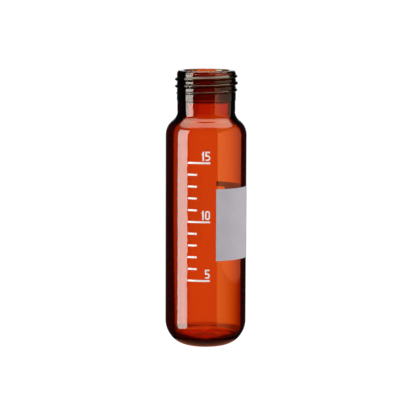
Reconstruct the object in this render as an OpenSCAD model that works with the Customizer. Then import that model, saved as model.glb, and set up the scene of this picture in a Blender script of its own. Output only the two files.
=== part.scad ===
// Glass sample vial with a round bottom edge, a screw neck, a write-on patch and a printed scale.
// Millimetres, +Z up. The origin is on the axis, in the plane that the vial stands on.
// Angles run anticlockwise from +X, seen from above, and -Y is the front.

/* [Body] */
// Outside diameter of the straight body
body_d = 22.3; // [20:0.1:26]
// Overall height, from the seat to the sealing rim
height = 76; // [62:0.5:110]
// Wall thickness of the body
wall = 1.2; // [0.9:0.05:1.6]

/* [Base] */
// Outer radius of the round bottom edge
heel_r = 6.9; // [5.8:0.1:7.5]
// Width of the flat ring that the vial stands on
seat_w = 1; // [0.6:0.1:1.6]
// Rise of the hollow inside that ring
push_up = 0.4; // [0.2:0.05:0.8]
// Thickness of the glass at the middle of the base
base_wall = 2.4; // [1.8:0.05:2.6]
// Radius of the corner inside, between the heel and the floor
corner_r = 1.5; // [1:0.1:2]

/* [Shoulder] */
// Outer radius of the round shoulder
shoulder_r = 5.2; // [4:0.1:6]
// Outer radius of the hollow curve from the shoulder to the neck
throat_r = 3.1; // [2:0.1:4]

/* [Neck] */
// Outside diameter of the neck
neck_d = 15.8; // [15:0.1:16]
// Diameter of the bore through the neck
bore_d = 12.2; // [11:0.1:12.4]
// Length of the straight neck, from the throat to the sealing rim
neck_h = 11.2; // [10.5:0.1:16]
// Outside diameter of the raised sealing ring on top
ring_d = 12.8; // [12.8:0.1:13.6]
// Height of the sealing ring above the land round it
ring_h = 0.1; // [0.05:0.01:0.3]
// Rounding of the outer edge of the land
land_edge_r = 0.4; // [0.2:0.05:0.6]
// Rounding of the edge where the bore meets the sealing ring
lip_r = 0.1; // [0.05:0.05:0.15]

/* [Thread] */
// Outside diameter over the crests
thread_d = 17.4; // [17:0.05:17.8]
// Diameter between the crests
root_d = 16.2; // [16.1:0.05:16.5]
// Rise in one turn
pitch = 1.9; // [1.6:0.05:2.2]
// Turns from the first trace of the ridge at the top to the last one below
turns = 3.65; // [3:0.05:4]
// Turns over which the ridge rises to full height at the top
lead_in = 0.32; // [0.2:0.02:0.6]
// Turns over which the ridge dies out below
run_out = 2.2; // [1:0.1:2.4]
// Angle at which the ridge starts
thread_start = 75; // [0:5:355]
// Drop from the sealing rim to the start of the ridge
thread_drop = 1.2; // [1.2:0.05:1.6]
// Length of the threaded band below the last trace of the ridge
band_tail = 0.5; // [0.4:0.05:1]
// Length of the slope at each end of the threaded band
band_slope = 0.2; // [0.1:0.05:0.25]

/* [Write-on patch] */
// Thickness of the fired white ink
ink = 0.06; // [0.04:0.01:0.15]
// Drop from the start of the shoulder to the top of the patch
patch_drop = 13.9; // [4:0.1:14]
// Height of the patch
patch_h = 19.6; // [12:0.1:20]
// Angle of the front end of the patch
patch_start = -75.5; // [-80:0.5:-60]
// Angle that the patch covers
patch_angle = 135; // [90:1:150]
// Height of the strip that runs on at the top of the back end
tab_h = 1.4; // [0.8:0.1:3]
// Angle that the strip covers beyond the patch
tab_angle = 14; // [6:1:20]

/* [Printed scale] */
// Lowest volume marked, in millilitres
low_mark = 5; // [5:5:10]
// Highest volume marked, in millilitres
high_mark = 15; // [10:5:15]
// Width of the marks
stroke = 0.5; // [0.4:0.05:0.6]
// Width of the lines in the numbers
digit_stroke = 0.4; // [0.3:0.05:0.45]
// Angle of the left ends of the marks
mark_start = -116; // [-125:1:-112]
// Length of a mark
mark_w = 2.6; // [2:0.1:3]
// Length of a mark that carries a number
long_mark_w = 6.2; // [6:0.1:6.6]
// Height of the numbers
digit_h = 2.5; // [2.2:0.1:2.6]
// Width of one figure
digit_w = 1.35; // [1.2:0.05:1.4]
// Gap between two figures, and between a figure and its mark
digit_gap = 0.35; // [0.3:0.05:0.4]

/* [Hidden] */
$fn = 144;

body_r = body_d / 2;
neck_r = neck_d / 2;
bore_r = bore_d / 2;
ring_r = ring_d / 2;
crest_r = thread_d / 2;
root_r = root_d / 2;

// The heel arcs, inside and out, share one centre, and so do the shoulder arcs.
heel_c = body_r - heel_r;
seat_in = heel_c - seat_w;
shoulder_c = body_r - shoulder_r;
throat_c = neck_r + throat_r;
throat_z = height - neck_h;
blend_w = throat_c - shoulder_c;
blend_h = sqrt(pow(shoulder_r + throat_r, 2) - pow(blend_w, 2));
shoulder_z = throat_z - blend_h;

// The bore's throat has the neck's wall added to its radius, and so ends higher up.
throat_in_r = throat_r + neck_r - bore_r;
shoulder_in_r = shoulder_r - wall;
blend_in_h = sqrt(pow(shoulder_in_r + throat_in_r, 2) - pow(blend_w, 2));
throat_in_z = shoulder_z + blend_in_h;

// The floor inside is flat, and a small corner arc runs from it into the inner heel arc.
heel_in_r = heel_r - wall;
floor_z = push_up + base_wall;
corner_z = floor_z + corner_r;
corner_reach = sqrt(pow(heel_in_r - corner_r, 2) - pow(heel_r - corner_z, 2));
corner_c = heel_c + corner_reach;
corner_a = atan2(heel_r - corner_z, corner_reach);

// The hollow underneath is a dome through the middle and the inner edge of the seat ring.
under_r = (pow(seat_in, 2) + pow(push_up, 2)) / (2 * push_up);
under_a = asin(seat_in / under_r);

land_z = height - ring_h;
band_low = height - thread_drop - pitch * turns - band_tail;
band_high = land_z - land_edge_r;

// The ridge is a bell curve in section, nearly a pitch wide, with its foot sunk into the wall.
ridge_fill = 0.96;
ridge_end_width = 0.35;
ridge_sink = 0.12;
ridge_depth = 0.7;
ridge_parts = 6;
ridge_step = 6;

// Contents up to the top of the heel, and the height of each further millilitre
ml = 1000;
inner_r = body_r - wall;
heel_d = heel_r - floor_z;
heel_a = asin(heel_d / heel_in_r);
heel_arc = pow(heel_in_r, 2) * (sin(2 * heel_a) / 2 + heel_a * PI / 180);
heel_slab = heel_d * (pow(heel_c, 2) + pow(heel_in_r, 2)) - pow(heel_d, 3) / 3;
heel_contents = PI * (heel_slab + heel_c * heel_arc);
ml_h = ml / (PI * pow(inner_r, 2));
figures_every = 5;

patch_z = shoulder_z - patch_drop - patch_h;

// Points on an arc in the radius-height plane; first = 1 leaves out a shared start
function arc(c, z, r, from, to, steps = 12, first = 0) = [
    for (i = [first:steps])
        let (a = from + (to - from) * i / steps)
        [c + r * cos(a), z + r * sin(a)]
];

function outer_outline() = concat(
    arc(0, push_up - under_r, under_r, 90, 90 - under_a, 6),
    arc(heel_c, heel_r, heel_r, -90, 0, 18),
    arc(shoulder_c, shoulder_z, shoulder_r, 0, atan2(blend_h, blend_w)),
    arc(throat_c, throat_z, throat_r, 180 + atan2(blend_h, blend_w), 180, 10, 1),
    [
        [neck_r, band_low],
        [root_r, band_low + band_slope],
        [root_r, band_high - band_slope],
        [neck_r, band_high]
    ],
    arc(neck_r - land_edge_r, band_high, land_edge_r, 0, 90, 6, 1),
    [
        [ring_r + ring_h, land_z],
        [ring_r, height]
    ]
);

function inner_outline() = concat(
    arc(bore_r + lip_r, height - lip_r, lip_r, 90, 180, 4),
    arc(throat_c, throat_in_z, throat_in_r, 180, 180 + atan2(blend_in_h, blend_w)),
    arc(shoulder_c, shoulder_z, shoulder_in_r, atan2(blend_in_h, blend_w), 0, 12, 1),
    arc(heel_c, heel_r, heel_in_r, 0, -corner_a, 12),
    arc(corner_c, corner_z, corner_r, -corner_a, -90, 12, 1),
    [[0, floor_z]]
);

// Share of the full ridge height after a number of turns from the start
function ease(x) = (1 - cos(180 * max(0, min(1, x)))) / 2;
function ridge_share(t) = min(ease(t / lead_in), ease((turns - t) / run_out));

// One section of the ridge, as points round a closed outline
function ridge_section(t) =
    let (
        a = thread_start - 360 * t,
        z = height - thread_drop - pitch * t,
        share = ridge_share(t),
        half = ridge_fill * pitch / 2 * (ridge_end_width + (1 - ridge_end_width) * share),
        lift = ridge_sink / 2 + (crest_r - root_r + ridge_sink / 2) * share,
        foot_r = root_r - ridge_depth
    )
    concat(
        [
            for (i = [0:ridge_parts])
                let (
                    u = 2 * i / ridge_parts - 1,
                    r = root_r - ridge_sink + lift * ease(1 - abs(u))
                )
                [r * cos(a), r * sin(a), z + u * half]
        ],
        [
            [foot_r * cos(a), foot_r * sin(a), z + half],
            [foot_r * cos(a), foot_r * sin(a), z - half]
        ]
    );

module thread_ridge() {
    sections = ceil(turns * 360 / ridge_step);
    ring = ridge_parts + 3;
    points = [
        for (s = [0:sections])
            each ridge_section(turns * s / sections)
    ];
    sides = [
        for (s = [0:sections - 1], k = [0:ring - 1])
            let (
                a = s * ring + k,
                b = s * ring + (k + 1) % ring
            )
            each [[a, b + ring, b], [a, a + ring, b + ring]]
    ];
    caps = [
        [for (k = [0:ring - 1]) k],
        [for (k = [ring - 1:-1:0]) sections * ring + k]
    ];
    polyhedron(points, concat(sides, caps));
}

// Blown body, neck, rim and thread, all one piece of glass
module glass_vial() {
    color([0.72, 0.22, 0.05])
    union() {
        rotate_extrude()
        polygon(concat(outer_outline(), inner_outline()));
        thread_ridge();
    }
}

// A band of ink on the outside of the body
module ink_band(start, angle, z, h) {
    rotate([0, 0, start])
    rotate_extrude(angle = angle)
    translate([body_r, z])
    square([ink, h]);
}

// Grey-white panel to write on, with a narrow strip at the back end
module write_on_patch() {
    color([0.78, 0.77, 0.79])
    union() {
        ink_band(patch_start, patch_angle, patch_z, patch_h);
        ink_band(patch_start, patch_angle + tab_angle, patch_z + patch_h - tab_h, tab_h);
    }
}

// Height of the liquid for a volume in millilitres
function level(volume) = heel_r + (volume - heel_contents / ml) * ml_h;

// Angle that an arc of this length covers on the body
function arc_angle(length) = length / body_r * 180 / PI;

module figure_one() {
    translate([digit_w - digit_stroke, 0])
    square([digit_stroke, digit_h]);
    translate([digit_w - digit_stroke, digit_h - digit_stroke])
    rotate(-135)
    square([digit_stroke, digit_w / 2]);
}

module figure_zero() {
    r = digit_w / 2;
    difference() {
        union() {
            translate([r, r])
            circle(r);
            translate([r, digit_h - r])
            circle(r);
            translate([0, r])
            square([digit_w, digit_h - digit_w]);
        }
        translate([r, r])
        circle(r - digit_stroke);
        translate([r, digit_h - r])
        circle(r - digit_stroke);
        translate([digit_stroke, r])
        square([digit_w - 2 * digit_stroke, digit_h - digit_w]);
    }
}

module figure_five() {
    bowl_r = digit_h * 0.31;
    bowl_x = digit_w - bowl_r;
    translate([0, digit_h - digit_stroke])
    square([digit_w * 0.92, digit_stroke]);
    translate([0, 2 * bowl_r - digit_stroke])
    square([digit_stroke, digit_h - 2 * bowl_r + digit_stroke]);
    translate([0, 2 * bowl_r - digit_stroke])
    square([bowl_x, digit_stroke]);
    translate([bowl_x, bowl_r])
    difference() {
        circle(bowl_r);
        circle(bowl_r - digit_stroke);
        translate([-2 * bowl_r, -bowl_r / 2])
        square([2 * bowl_r, 2 * bowl_r]);
    }
}

module figure(value) {
    if (value == 0) figure_zero();
    if (value == 1) figure_one();
    if (value == 5) figure_five();
}

// A number of one or two figures that ends at the right end of its mark
module number(value) {
    places = value < 10 ? [value] : [floor(value / 10), value % 10];
    for (i = [0:len(places) - 1]) {
        left = long_mark_w - (len(places) - i) * digit_w - (len(places) - 1 - i) * digit_gap;
        rotate([0, 0, mark_start + arc_angle(left + digit_w / 2)])
        translate([body_r - wall, 0, level(value) + stroke / 2 + digit_gap])
        rotate([90, 0, 90])
        translate([-digit_w / 2, 0])
        linear_extrude(2 * wall)
        figure(places[i]);
    }
}

// Marks for the contents, with a number at every fifth one
module scale_print() {
    color("white")
    union() {
        for (value = [low_mark:high_mark])
            if (level(value) + digit_h < shoulder_z) {
                numbered = value % figures_every == 0;
                angle = arc_angle(numbered ? long_mark_w : mark_w);
                ink_band(mark_start, angle, level(value) - stroke / 2, stroke);
            }
        intersection() {
            ink_band(mark_start, arc_angle(long_mark_w), heel_r, shoulder_z - heel_r);
            for (value = [low_mark:figures_every:high_mark])
                if (level(value) + digit_h < shoulder_z)
                    number(value);
        }
    }
}

glass_vial();
write_on_patch();
scale_print();
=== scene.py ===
import math

import bmesh
import bpy
from mathutils import Matrix, Vector


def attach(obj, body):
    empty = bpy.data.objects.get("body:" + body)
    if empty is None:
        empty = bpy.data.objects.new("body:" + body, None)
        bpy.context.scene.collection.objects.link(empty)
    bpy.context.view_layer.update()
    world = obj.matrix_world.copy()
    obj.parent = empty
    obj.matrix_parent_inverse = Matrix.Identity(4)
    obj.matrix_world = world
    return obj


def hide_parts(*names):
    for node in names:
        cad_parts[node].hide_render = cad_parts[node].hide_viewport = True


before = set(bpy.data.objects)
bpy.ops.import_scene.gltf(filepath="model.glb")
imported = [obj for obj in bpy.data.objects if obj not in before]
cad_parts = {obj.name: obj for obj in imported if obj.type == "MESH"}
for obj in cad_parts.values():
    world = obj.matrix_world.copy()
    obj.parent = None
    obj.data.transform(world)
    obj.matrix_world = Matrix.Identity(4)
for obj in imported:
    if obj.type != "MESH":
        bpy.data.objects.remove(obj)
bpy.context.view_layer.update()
mm = 0.001  # sizes below are in millimetres
hair = 0.001  # two places closer than this are one place
degree = 180 / math.pi
white = (1, 1, 1, 1)


class Sum:
    # wraps a number socket, so that sums on it add Math nodes
    def __init__(self, shade, socket):
        self.shade, self.socket = shade, socket

    def mathNode(self, operation, *values):
        sockets = dict(enumerate(values))
        return self.shade.number("ShaderNodeMath", {"operation": operation}, sockets)

    def __add__(self, other):
        return self.mathNode("ADD", self, other)

    def __radd__(self, other):
        return self.mathNode("ADD", other, self)

    def __sub__(self, other):
        return self.mathNode("SUBTRACT", self, other)

    def __rsub__(self, other):
        return self.mathNode("SUBTRACT", other, self)

    def __mul__(self, other):
        return self.mathNode("MULTIPLY", self, other)

    def __rmul__(self, other):
        return self.mathNode("MULTIPLY", other, self)

    def __truediv__(self, other):
        return self.mathNode("DIVIDE", self, other)

    def __rtruediv__(self, other):
        return self.mathNode("DIVIDE", other, self)

    def __abs__(self):
        return self.mathNode("ABSOLUTE", self)

    def bigger(self, other):
        return self.mathNode("MAXIMUM", self, other)

    def ramp(self, low, high):
        # rises smoothly from 0 at low to 1 at high, or falls if high is the lower one
        settings = {"interpolation_type": "SMOOTHSTEP"}
        sockets = {"Value": self, "From Min": low, "From Max": high}
        return self.shade.number("ShaderNodeMapRange", settings, sockets)


class Shade:
    # the node tree of a material, a world or a lamp
    def __init__(self, owner):
        owner.use_nodes = True
        self.tree = owner.node_tree
        self.tree.nodes.clear()

    def node(self, kind, settings=None, sockets=None):
        made = self.tree.nodes.new(kind)
        for name, value in (settings or {}).items():
            setattr(made, name, value)
        for name, value in (sockets or {}).items():
            socket = made.inputs[name]
            if isinstance(value, Sum):
                value = value.socket
            if isinstance(value, bpy.types.NodeSocket):
                self.tree.links.new(value, socket)
            else:
                socket.default_value = value
        return made

    def number(self, kind, settings=None, sockets=None, output=0):
        return Sum(self, self.node(kind, settings, sockets).outputs[output])

    def mix(self, share, low, high, blend="MIX"):
        # the colour sockets of a Mix node are its seventh and eighth
        settings = {"data_type": "RGBA", "blend_type": blend}
        return self.node("ShaderNodeMix", settings, {0: share, 6: low, 7: high}).outputs[2]


def length(x, y):
    # of a flat vector, from two sockets
    return x.mathNode("SQRT", x * x + y * y)


vial = {
    "bodyD": 22.3, "height": 76, "wall": 1.2,
    "heelR": 6.9, "seatW": 1, "pushUp": 0.4, "baseWall": 2.4, "cornerR": 1.5,
    "shoulderR": 5.2, "throatR": 3.1,
    "neckD": 15.8, "boreD": 12.2, "neckH": 11.2,
    "ringD": 12.8, "ringH": 0.1, "ringEdge": 0.04, "landEdgeR": 0.4,
    "lipW": 0.25, "lipH": 1,  # the flame has rounded the lip
    "threadD": 17.4, "rootD": 16.2, "pitch": 1.9, "turns": 3.65,
    "leadIn": 0.32, "runOut": 2.2, "threadStart": 75, "threadDrop": 1.2,
    "bandTail": 0.5, "bandSlope": 0.2, "ridgeFill": 0.96, "endWidth": 0.35, "ridgeSink": 0.12,
    # how finely each part of the outline is divided
    "sides": 200, "underRows": 8, "seatRows": 3, "heelRows": 28, "wallRows": 12,
    "shoulderRows": 16, "throatRows": 12, "bandRows": 230, "edgeRows": 8, "landRows": 3,
    "lipRows": 16, "cornerRows": 14, "floorRows": 6,
}


class Outline:
    # a pen that draws a chain of edges in the radius-height plane
    def __init__(self, bm, r, z):
        self.bm = bm
        self.outside = bm.verts.layers.float.new("outside")  # 1 outside, 0 inside
        self.tip = bm.verts.new((r * mm, 0, z * mm))
        self.tip[self.outside] = 1

    def line(self, r, z, rows=1):
        # to a radius and a height
        start, end = self.tip.co.copy(), Vector((r * mm, 0, z * mm))
        for row in range(rows):
            made = bmesh.ops.extrude_vert_indiv(self.bm, verts=[self.tip])
            self.tip = made["verts"][0]
            self.tip.co = start.lerp(end, (row + 1) / rows)

    def arc(self, r, z, turn, rows):
        # round a centre, through an angle in degrees
        made = bmesh.ops.spin(
            self.bm, geom=[self.tip], cent=(r * mm, 0, z * mm), axis=(0, -1, 0),
            angle=math.radians(turn), steps=rows)
        self.tip = [g for g in made["geom_last"] if isinstance(g, bmesh.types.BMVert)][0]


def ease(x):
    # a smooth step from 0 to 1
    return (1 - math.cos(math.pi * max(0, min(1, x)))) / 2


def threadRadius(angle, z, s):
    # radius of the outer wall of the neck, at an angle in degrees and a height
    neckR, rootR, crestR = s["neckD"] / 2, s["rootD"] / 2, s["threadD"] / 2
    top = s["height"] - s["ringH"] - s["landEdgeR"]
    low = s["height"] - s["threadDrop"] - s["pitch"] * s["turns"] - s["bandTail"]
    rise = min(ease((z - low) / (2 * s["bandSlope"])), ease((top - z) / (2 * s["bandSlope"])))
    r = neckR + (rootR - neckR) * rise
    turn = (s["threadStart"] - angle) % 360 / 360  # turns since the start of the ridge
    while turn < s["turns"]:
        share = min(ease(turn / s["leadIn"]), ease((s["turns"] - turn) / s["runOut"]))
        half = s["ridgeFill"] * s["pitch"] / 2 * (s["endWidth"] + (1 - s["endWidth"]) * share)
        crest = s["height"] - s["threadDrop"] - s["pitch"] * turn
        lift = s["ridgeSink"] / 2 + (crestR - rootR + s["ridgeSink"] / 2) * share
        r = max(r, rootR - s["ridgeSink"] + lift * ease(1 - abs(z - crest) / half))
        turn += 1
    return r


def makeVial(s):
    bodyR, neckR, boreR = s["bodyD"] / 2, s["neckD"] / 2, s["boreD"] / 2
    ringR, height = s["ringD"] / 2, s["height"]
    heelC, heelR, heelIn = bodyR - s["heelR"], s["heelR"], s["heelR"] - s["wall"]
    seatIn = heelC - s["seatW"]
    underR = (seatIn ** 2 + s["pushUp"] ** 2) / (2 * s["pushUp"])
    underA = math.degrees(math.asin(seatIn / underR))
    shoulderC, throatC = bodyR - s["shoulderR"], neckR + s["throatR"]
    throatZ = height - s["neckH"]
    reach = throatC - shoulderC
    rise = math.sqrt((s["shoulderR"] + s["throatR"]) ** 2 - reach ** 2)
    shoulderZ = throatZ - rise
    shoulderIn, throatIn = s["shoulderR"] - s["wall"], s["throatR"] + neckR - boreR
    riseIn = math.sqrt((shoulderIn + throatIn) ** 2 - reach ** 2)
    floorZ = s["pushUp"] + s["baseWall"]
    cornerR, cornerZ = s["cornerR"], floorZ + s["cornerR"]
    cornerReach = math.sqrt((heelIn - cornerR) ** 2 - (heelR - cornerZ) ** 2)
    cornerC = heelC + cornerReach
    cornerA = math.degrees(math.atan2(heelR - cornerZ, cornerReach))
    landZ = height - s["ringH"]
    bandTop = landZ - s["landEdgeR"]
    outA = math.degrees(math.atan2(rise, reach))
    inA = math.degrees(math.atan2(riseIn, reach))

    bm = bmesh.new()
    pen = Outline(bm, 0, s["pushUp"])
    pen.arc(0, s["pushUp"] - underR, -underA, s["underRows"])
    pen.line(heelC, 0, s["seatRows"])
    pen.arc(heelC, heelR, 90, s["heelRows"])
    pen.line(bodyR, shoulderZ, s["wallRows"])
    pen.arc(shoulderC, shoulderZ, outA, s["shoulderRows"])
    pen.arc(throatC, throatZ, -outA, s["throatRows"])
    pen.line(neckR, bandTop, s["bandRows"])
    pen.arc(neckR - s["landEdgeR"], bandTop, 90, s["edgeRows"])
    pen.line(ringR + s["ringH"], landZ, s["landRows"])
    pen.line(ringR, height - s["ringEdge"], s["landRows"])
    pen.line(ringR - s["ringEdge"], height)
    pen.line(boreR + s["lipW"], height)
    pen.tip[pen.outside] = 0  # the bore and the inner wall follow
    for row in range(1, s["lipRows"] + 1):
        turn = math.pi / 2 * row / s["lipRows"]
        inward, down = s["lipW"] * (1 - math.sin(turn)), s["lipH"] * (1 - math.cos(turn))
        pen.line(boreR + inward, height - down)
    pen.line(boreR, shoulderZ + riseIn, s["wallRows"])
    pen.arc(throatC, shoulderZ + riseIn, inA, s["shoulderRows"])
    pen.arc(shoulderC, shoulderZ, -inA, s["shoulderRows"])
    pen.line(bodyR - s["wall"], heelR, s["wallRows"])
    pen.arc(heelC, heelR, -cornerA, s["cornerRows"])
    pen.arc(cornerC, cornerZ, cornerA - 90, s["cornerRows"])
    pen.line(0, floorZ, s["floorRows"])
    bmesh.ops.spin(
        bm, geom=bm.verts[:] + bm.edges[:], cent=(0, 0, 0), axis=(0, 0, 1),
        angle=math.tau, steps=s["sides"], use_merge=True)
    bmesh.ops.remove_doubles(bm, verts=bm.verts, dist=hair * mm)
    for vert in bm.verts:  # the neck's wall moves out to the thread
        r, z = math.hypot(vert.co.x, vert.co.y) / mm, vert.co.z / mm
        if abs(r - neckR) < hair and z < bandTop:
            angle = math.degrees(math.atan2(vert.co.y, vert.co.x))
            scale = threadRadius(angle, z, s) / r
            vert.co.x *= scale
            vert.co.y *= scale
    bmesh.ops.recalc_face_normals(bm, faces=bm.faces)
    return finishMesh(bm, "vialGlass")


def finishMesh(bm, name, smooth=True):
    mesh = bpy.data.meshes.new(name)
    bm.to_mesh(mesh)
    bm.free()
    for face in mesh.polygons:
        face.use_smooth = smooth
    piece = bpy.data.objects.new(name, mesh)
    bpy.context.scene.collection.objects.link(piece)
    return piece


# the tones are painted shade: they darken the glass on top of what its volume takes away
# a pair says where a tone starts and where it is full
glassLook = {
    "absorb": (0.176, 1.25, 2.35),  # light lost per millimetre, red to blue
    "ior": 1.5,
    # painted shade by how far the outer wall is turned away: the rim is painted nearly black, and
    # the side before it darker
    "rim": (0.4, 0.47), "rimPaintedShade": (0.0018, 0, 0, 1), "neckRimPaintedShade": (0.0001, 0, 0, 1),
    "side": (0.12, 0.42), "sidePaintedShade": (0.34, 0.34, 0.34, 1),
    "neckEdge": 0.18, "edgeLean": 0.06, "neckLean": 0.09, "footLean": 0.08, "footLeanZ": (40, 0),
    "upright": (0.94, 0.84), "leastLength": 0.1,
    # painted shade: the neck is a little darker in red
    "neckZ": (60, 65), "neckPaintedShade": (0.85, 1, 1, 1),
    # painted shade on the threaded band, its steep flanks and its sides
    "threadFoot": (66.95, 67.35), "threadTop": (75, 74.6), "threadPaintedShade": (0.19, 0.12, 0.34, 1),
    "flank": (0.2, 0.55), "flankPaintedShade": (0.06, 0.06, 0.06, 1),
    "threadSideShade": (0.05, 0.12), "threadSidePaintedShade": (0.25, 0.9, 0.9, 1),
    # painted shade at the sides of the mouth
    "lipZ": (75, 75.1), "lip": (0.06, 0.12), "lipSidePaintedShade": (0.06, 0.2, 0.4, 1),
    # painted shade in a band on the inner heel
    "heelTop": (4.8, 4.5), "heelFoot": (2.85, 3), "heelPaintedShade": (0.5, 0.25, 0.5, 1),
    # painted shade in a band round the foot, wider towards its sides
    "footMiddle": 3.3, "footReach": 0.25, "footSpread": 1.4, "footSoft": 0.3,
    "footPaintedShade": (0.25, 0.2, 0.4, 1),
    "waveAcross": 170, "waveUp": 14, "waveDetail": 2, "waveHeight": 0.002,
}


def makeGlass(s):
    made = bpy.data.materials.new("amberGlass")
    shade = Shade(made)
    where = shade.node("ShaderNodeTexCoord")
    split = shade.node("ShaderNodeSeparateXYZ", None, {0: where.outputs["Object"]})
    z = Sum(shade, split.outputs[2]) * (1 / mm)
    outside = shade.number("ShaderNodeAttribute", {"attribute_name": "outside"}, None, "Fac")
    # how far the wall is turned to the side, from its level normal and its level tangent
    level = shade.node("ShaderNodeVectorMath", {"operation": "MULTIPLY"}, {
        0: where.outputs["Normal"], 1: (1, 1, 0)})
    level = shade.node("ShaderNodeVectorMath", {"operation": "NORMALIZE"}, {0: level.outputs[0]})
    along = shade.node("ShaderNodeVectorMath", {"operation": "CROSS_PRODUCT"}, {
        0: level.outputs[0], 1: (0, 0, 1)})
    facing, aside = (
        1 - shade.number("ShaderNodeLayerWeight", None, {"Normal": way.outputs[0]}, "Facing")
        for way in (level, along))
    whole = length(facing, aside).bigger(s["leastLength"])
    turned, across = 1 - facing / whole, aside / whole
    normal = shade.node("ShaderNodeSeparateXYZ", None, {0: where.outputs["Normal"]})
    nx, steep = Sum(shade, normal.outputs[0]), abs(Sum(shade, normal.outputs[2]))
    neck = z.ramp(*s["neckZ"])
    # the painted shade at the edge is wider on one side than on the other
    lean = nx * (neck * (s["neckLean"] - s["edgeLean"]) + s["edgeLean"])
    lean = lean - (0 - nx).bigger(0) * z.ramp(*s["footLeanZ"]) * s["footLean"]
    edge = turned + neck * s["neckEdge"] - lean
    # the wall is seen end on at the sides; painted shade darkens it there and hides what is behind
    # it
    upright = steep.ramp(*s["upright"]) * outside
    side = edge.ramp(*s["side"]) * upright * (1 - neck)
    rim = edge.ramp(*s["rim"]) * upright
    # painted shade on the threaded band, darker on its steep flanks and at its sides
    thread = z.ramp(*s["threadFoot"]) * z.ramp(*s["threadTop"]) * outside
    flank = steep.ramp(*s["flank"]) * thread
    threadSideShade = turned.ramp(*s["threadSideShade"]) * thread
    # painted shade at the sides of the mouth
    lip = z.ramp(*s["lipZ"]) * (1 - outside) * turned.ramp(*s["lip"])
    # painted shade on the foot: a band on the inner heel, and one round the outside that widens
    # towards its sides
    heel = z.ramp(*s["heelTop"]) * z.ramp(*s["heelFoot"]) * (1 - outside)
    # the painted shade round the foot is wider towards its sides
    footReach = across * s["footSpread"] + s["footReach"]
    foot = (footReach - abs(z - s["footMiddle"])).ramp(0, s["footSoft"]) * outside
    # the glass colour is white, darkened in turn by each painted shade
    tone = white
    for share, name in (
            (neck * outside, "neckPaintedShade"), (thread, "threadPaintedShade"), (flank, "flankPaintedShade"),
            (heel, "heelPaintedShade"), (foot, "footPaintedShade"), (threadSideShade, "threadSidePaintedShade"),
            (side, "sidePaintedShade"), (lip, "lipSidePaintedShade")):
        tone = shade.mix(share, tone, s[name], "MULTIPLY")
    # the rim turned furthest away is painted nearly black, a painted shade
    tone = shade.mix(rim, tone, shade.mix(neck, s["rimPaintedShade"], s["neckRimPaintedShade"]))
    # a drawn tube has faint waves that run along it
    stretch = shade.node("ShaderNodeMapping", None, {
        "Vector": where.outputs["Object"],
        "Scale": (s["waveAcross"], s["waveAcross"], s["waveUp"])})
    wave = shade.number("ShaderNodeTexNoise", None, {
        "Vector": stretch.outputs[0], "Scale": 1, "Detail": s["waveDetail"]})
    bump = shade.node("ShaderNodeBump", None, {
        "Strength": 1, "Distance": s["waveHeight"] * mm, "Height": wave})
    body = shade.node("ShaderNodeBsdfPrincipled", None, {
        "Base Color": tone, "Roughness": 0, "IOR": s["ior"], "Transmission Weight": 1,
        "Normal": bump.outputs[0]})
    most = max(s["absorb"])  # the colour of a volume is what it spares of its density
    tint = [1 - loss / most for loss in s["absorb"]]
    inside = shade.node("ShaderNodeVolumeAbsorption", None, {
        "Color": (*tint, 1), "Density": most / mm})
    shade.node("ShaderNodeOutputMaterial", None, {
        "Surface": body.outputs[0], "Volume": inside.outputs[0]})
    return made


glass = makeVial(vial)
glass.data.materials.append(makeGlass(glassLook))
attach(glass, "root")
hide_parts("glass_vial")
print("vial made:", len(glass.data.polygons), "faces")


patchLook = {
    "colour": (0.485, 0.49, 0.555, 1), "thin": (0.455, 0.46, 0.525, 1), "thinFrom": (0.38, 0.62),
    "roughLow": 0.6, "roughHigh": 0.8,
    "cloud": 260, "cloudDetail": 3, "grain": 3400, "grainDetail": 2, "grainShare": 0.5,
    "height": 0.006, "bump": 0.6,
}
printLook = {
    **patchLook, "colour": (0.8, 0.8, 0.8, 1), "thin": (0.73, 0.73, 0.73, 1),
    "roughLow": 0.42, "roughHigh": 0.58, "cloud": 500, "grain": 5200, "height": 0.003,
}


def makeInk(name, s):
    # fired ink laid on through a screen: faintly cloudy, with a fine dry grain
    made = bpy.data.materials.new(name)
    shade = Shade(made)
    where = shade.node("ShaderNodeTexCoord")
    cloud, grain = (
        shade.number("ShaderNodeTexNoise", None, {
            "Vector": where.outputs["Object"], "Scale": s[kind], "Detail": s[kind + "Detail"]})
        for kind in ("cloud", "grain"))
    thin = (cloud * (1 - s["grainShare"]) + grain * s["grainShare"]).ramp(*s["thinFrom"])
    rough = grain * (s["roughHigh"] - s["roughLow"]) + s["roughLow"]
    bump = shade.node("ShaderNodeBump", None, {
        "Strength": s["bump"], "Distance": s["height"] * mm, "Height": grain})
    body = shade.node("ShaderNodeBsdfPrincipled", None, {
        "Base Color": shade.mix(thin, s["colour"], s["thin"]), "Roughness": rough,
        "Normal": bump.outputs[0]})
    shade.node("ShaderNodeOutputMaterial", None, {"Surface": body.outputs[0]})
    return made


def paint(node, material):
    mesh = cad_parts[node].data
    mesh.materials.clear()
    mesh.materials.append(material)


paint("write_on_patch", makeInk("patchInk", patchLook))
paint("scale_print", makeInk("printInk", printLook))
print("inks made")


cameraSet = {
    "eye": (0.44, -611, 111.1), "aim": (0.44, 0, 38.08), "roll": 0.235,
    "lens": 193.7, "sensor": 36, "near": 10, "far": 20000,
}


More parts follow.
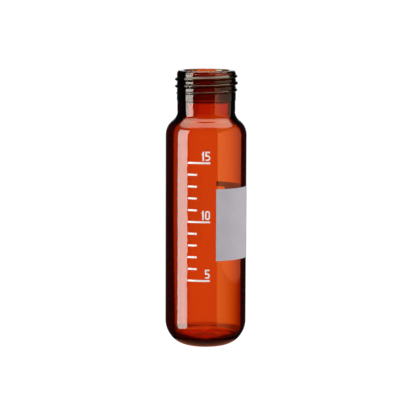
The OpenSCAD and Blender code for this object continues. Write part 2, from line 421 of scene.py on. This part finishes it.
def makeCamera(s):
    data = bpy.data.cameras.new("camera")
    data.lens = s["lens"]
    data.sensor_width = s["sensor"]
    data.clip_start, data.clip_end = s["near"] * mm, s["far"] * mm
    camera = bpy.data.objects.new("camera", data)
    bpy.context.scene.collection.objects.link(camera)
    eye, aim = Vector(s["eye"]) * mm, Vector(s["aim"]) * mm
    turn = (eye - aim).to_track_quat("Z", "Y").to_matrix()
    turn = turn @ Matrix.Rotation(math.radians(s["roll"]), 3, "Z")
    camera.matrix_world = Matrix.Translation(eye) @ turn.to_4x4()
    bpy.context.scene.camera = camera


makeCamera(cameraSet)
print("camera made")


floorLook = {"size": 12000, "colour": (0.95, 0.95, 0.95, 1), "glow": 1.15, "glowShare": 0.88}


def makeFloor(s):
    # the camera sees mostly an even white, and a little of the real floor with its shadow
    bm = bmesh.new()
    bmesh.ops.create_grid(bm, x_segments=1, y_segments=1, size=s["size"] / 2 * mm)
    floor = finishMesh(bm, "floor", smooth=False)
    made = bpy.data.materials.new("paleFloor")
    shade = Shade(made)
    path = shade.node("ShaderNodeLightPath")
    lit = shade.node("ShaderNodeBsdfDiffuse", None, {"Color": s["colour"]})
    plain = shade.node("ShaderNodeEmission", None, {"Color": white, "Strength": s["glow"]})
    share = Sum(shade, path.outputs["Is Camera Ray"]) * s["glowShare"]
    mixed = shade.node("ShaderNodeMixShader", None, {
        0: share, 1: lit.outputs[0], 2: plain.outputs[0]})
    shade.node("ShaderNodeOutputMaterial", None, {"Surface": mixed.outputs[0]})
    floor.data.materials.append(made)
    floor.visible_glossy = floor.visible_transmission = False


makeFloor(floorLook)
print("floor made")


# angles in degrees, level with the vial and straight behind it being 0; a pair is a soft step
backdrop = {
    "ambient": 0.28,
    "top": (17, 11), "aboveTop": 0.3,
    "dimStart": (-2.4, -4.2), "dimEnd": (-12, -6), "dim": 0.3,
    "tintStart": (1.5, 1.7), "tintEnd": (14, 10), "tint": (1, 1.8, 1.2, 1),
    "behindSide": (18, 14), "behindHigh": (20, 16), "behindGlow": 0.9, "dull": 0.014,
}


def makeWorld(s):
    world = bpy.data.worlds.new("studioWorld")
    bpy.context.scene.world = world
    shade = Shade(world)
    path = shade.node("ShaderNodeLightPath")
    isCamera, isThrough, isGlossy = (
        Sum(shade, path.outputs["Is %s Ray" % kind])
        for kind in ("Camera", "Transmission", "Glossy"))
    where = shade.node("ShaderNodeTexCoord")
    split = shade.node("ShaderNodeSeparateXYZ", None, {0: where.outputs["Generated"]})
    x, y, z = (Sum(shade, socket) for socket in split.outputs)
    toSide = x.mathNode("ARCTAN2", x, y) * degree
    toTop = x.mathNode("ARCSINE", z) * degree
    # through the glass the backdrop is dimmer high up and a little to the left
    high = toTop.ramp(*s["top"]) * (1 - s["aboveTop"]) + s["aboveTop"]
    dim = toSide.ramp(*s["dimStart"]) * toSide.ramp(*s["dimEnd"]) * s["dim"]
    through = isThrough * high * (1 - dim)
    tint = isThrough * toSide.ramp(*s["tintStart"]) * toSide.ramp(*s["tintEnd"])
    # gloss shows it only straight behind the vial
    behind = abs(toSide).ramp(*s["behindSide"]) * abs(toTop).ramp(*s["behindHigh"])
    gloss = isGlossy * (1 - isThrough) * (behind * s["behindGlow"] + s["dull"])
    rest = (1 - isCamera) * (1 - isThrough.bigger(isGlossy)) * s["ambient"]
    glow = shade.node("ShaderNodeBackground", None, {
        "Color": shade.mix(tint, white, s["tint"]),
        "Strength": isCamera + through + gloss + rest})
    shade.node("ShaderNodeOutputWorld", None, {"Surface": glow.outputs[0]})


makeWorld(backdrop)
print("world made")


# the left lamp is the one that shows in the glass
leftLamp = {
    "angle": -70, "away": 400, "up": 62, "width": 237, "tall": 485,
    "glow": 9, "tone": (1, 0.97, 0.88),
}
rightFill = {
    "angle": 92, "away": 400, "up": 40, "width": 240, "tall": 400,
    "glow": 3.7, "tone": (1, 1, 1),
}
topLamp = {"y": -105, "up": 460, "width": 600, "tall": 250, "glow": 1.7, "tone": (1, 1, 1)}


def makeLamp(name, s, inGloss):
    # a soft flat lamp, which shines down until it is turned
    data = bpy.data.lights.new(name, "AREA")
    data.shape = "RECTANGLE"
    data.size, data.size_y = s["width"] * mm, s["tall"] * mm
    data.energy = s["glow"] * math.pi * data.size * data.size_y
    data.color = s["tone"]
    lamp = bpy.data.objects.new(name, data)
    bpy.context.scene.collection.objects.link(lamp)
    lamp.visible_camera = lamp.visible_transmission = False
    lamp.visible_glossy = inGloss
    return lamp


def standBeside(lamp, s):
    # at an angle from the front, turned to the vial
    turn = math.radians(s["angle"])
    out = Vector((math.sin(turn), -math.cos(turn), 0))
    place = (out * s["away"] + Vector((0, 0, s["up"]))) * mm
    facing = out.to_track_quat("Z", "Y").to_matrix().to_4x4()
    lamp.matrix_world = Matrix.Translation(place) @ facing


standBeside(makeLamp("leftLamp", leftLamp, True), leftLamp)
standBeside(makeLamp("rightFill", rightFill, False), rightFill)
above = Vector((0, topLamp["y"], topLamp["up"])) * mm
makeLamp("topLamp", topLamp, False).matrix_world = Matrix.Translation(above)
print("lamps made")


# the gold card stands on the right, the roof hangs overhead, and the sheet lies under the foot
goldCard = {
    "x": 78, "front": -122, "back": 28, "low": -30, "high": 110,
    "frontGlow": 3.36, "backGlow": 1.44, "gold": (1, 0.36, 0.16, 1),
    "plainFrom": (56, 67), "plainTo": (65, 71), "plainGlow": 0.55, "plain": (1, 0.8, 0.62, 1),
    "foot": (6.4, 9.4), "stripe": (-5, -75), "stripeGlow": 0.46,
}
roofCard = {
    "width": 1100, "depth": 660, "y": 40, "up": 461, "edge": (1, 0.72),
    "gapX": 78, "gapY": 80, "gapD": 38, "gapEdge": (0.8, 1.2),
    "glow": 4.2, "tone": (1, 0.9, 0.68, 1),
}
floorSheet = {
    "reach": 10.5, "up": 0.01, "edge": (10.5, 7.5), "glow": 0.6, "tone": (1, 0.3, 0.16, 1),
}


def startCard(name):
    # a material, its node tree, and its object coordinates in millimetres
    made = bpy.data.materials.new(name)
    shade = Shade(made)
    where = shade.node("ShaderNodeTexCoord")
    split = shade.node("ShaderNodeSeparateXYZ", None, {0: where.outputs["Object"]})
    return made, shade, [Sum(shade, socket) * (1 / mm) for socket in split.outputs]


def endCard(made, shade, colour, strength, corners):
    # a flat glowing card that shows in the gloss of the glass alone
    lit = shade.node("ShaderNodeEmission", None, {"Color": colour, "Strength": strength})
    shade.node("ShaderNodeOutputMaterial", None, {"Surface": lit.outputs[0]})
    bm = bmesh.new()
    bm.faces.new([bm.verts.new(Vector(corner) * mm) for corner in corners])
    card = finishMesh(bm, made.name, smooth=False)
    card.data.materials.append(made)
    card.visible_camera = card.visible_diffuse = False
    card.visible_transmission = card.visible_shadow = False


def flat(halfW, front, back, up):
    return (-halfW, front, up), (halfW, front, up), (halfW, back, up), (-halfW, back, up)


def makeGoldCard(s):
    made, shade, (x, y, z) = startCard("goldCard")
    plain = z.ramp(*s["plainFrom"]) * (1 - z.ramp(*s["plainTo"]))
    near = y.ramp(s["back"], s["front"])
    gold = near * (s["frontGlow"] - s["backGlow"]) + s["backGlow"]
    foot = z.ramp(*s["foot"]).bigger(y.ramp(*s["stripe"]) * s["stripeGlow"])
    glow = ((1 - plain) * gold + plain * s["plainGlow"]) * foot
    front, back, low, high = s["front"], s["back"], s["low"], s["high"]
    corners = [(s["x"], *corner) for corner in (
        (front, low), (back, low), (back, high), (front, high))]
    endCard(made, shade, shade.mix(plain, s["gold"], s["plain"]), glow, corners)


def makeRoofCard(s):
    # an oval with a gap in it
    made, shade, (x, y, z) = startCard("roofCard")
    halfW, halfD = s["width"] / 2, s["depth"] / 2
    gap = length(x / s["gapX"], (y - s["gapY"]) / s["gapD"])
    reach = length(x / halfW, (y - s["y"]) / halfD)
    glow = gap.ramp(*s["gapEdge"]) * reach.ramp(*s["edge"]) * s["glow"]
    corners = flat(halfW, s["y"] - halfD, s["y"] + halfD, s["up"])
    endCard(made, shade, s["tone"], glow, corners)


def makeFloorSheet(s):
    # the floor under the foot, lit through the glass, as the gloss of the heel shows it
    made, shade, (x, y, z) = startCard("floorSheet")
    glow = length(x, y).ramp(*s["edge"]) * s["glow"]
    corners = flat(s["reach"], -s["reach"], s["reach"], s["up"])
    endCard(made, shade, s["tone"], glow, corners)


makeGoldCard(goldCard)
makeRoofCard(roofCard)
makeFloorSheet(floorSheet)
print("cards made")

bpy.context.scene.view_settings.view_transform = "Standard"
